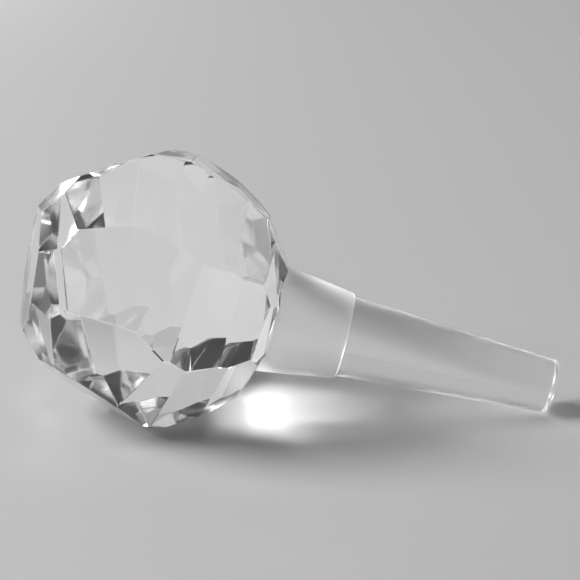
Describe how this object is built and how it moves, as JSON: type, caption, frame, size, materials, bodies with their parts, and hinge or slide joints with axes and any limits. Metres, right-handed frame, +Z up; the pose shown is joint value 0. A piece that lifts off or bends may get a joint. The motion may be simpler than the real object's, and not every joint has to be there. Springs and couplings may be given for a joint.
{
  "type": "glass stopper",
  "caption": "Solid clear glass stopper: a ball cut all over with flat facets, a short tapered collar and a long ground taper plug that seals a bottle neck.",
  "frame": {"origin": "on the surface the stopper lies on, straight below the ball's centre, in the facet that rests on that surface", "axes": "+Z up; the stopper's axis lies in the XZ plane, with the ball towards -X and the plug pointing towards +X and sloping down to the surface"},
  "size_m": [0.1016, 0.0532, 0.051],
  "materials": {
    "glass": "polished ball and collar, fine-ground plug"
  },
  "bodies": {
    "root": {"stopper": "glass"}
  },
  "joints": []
}
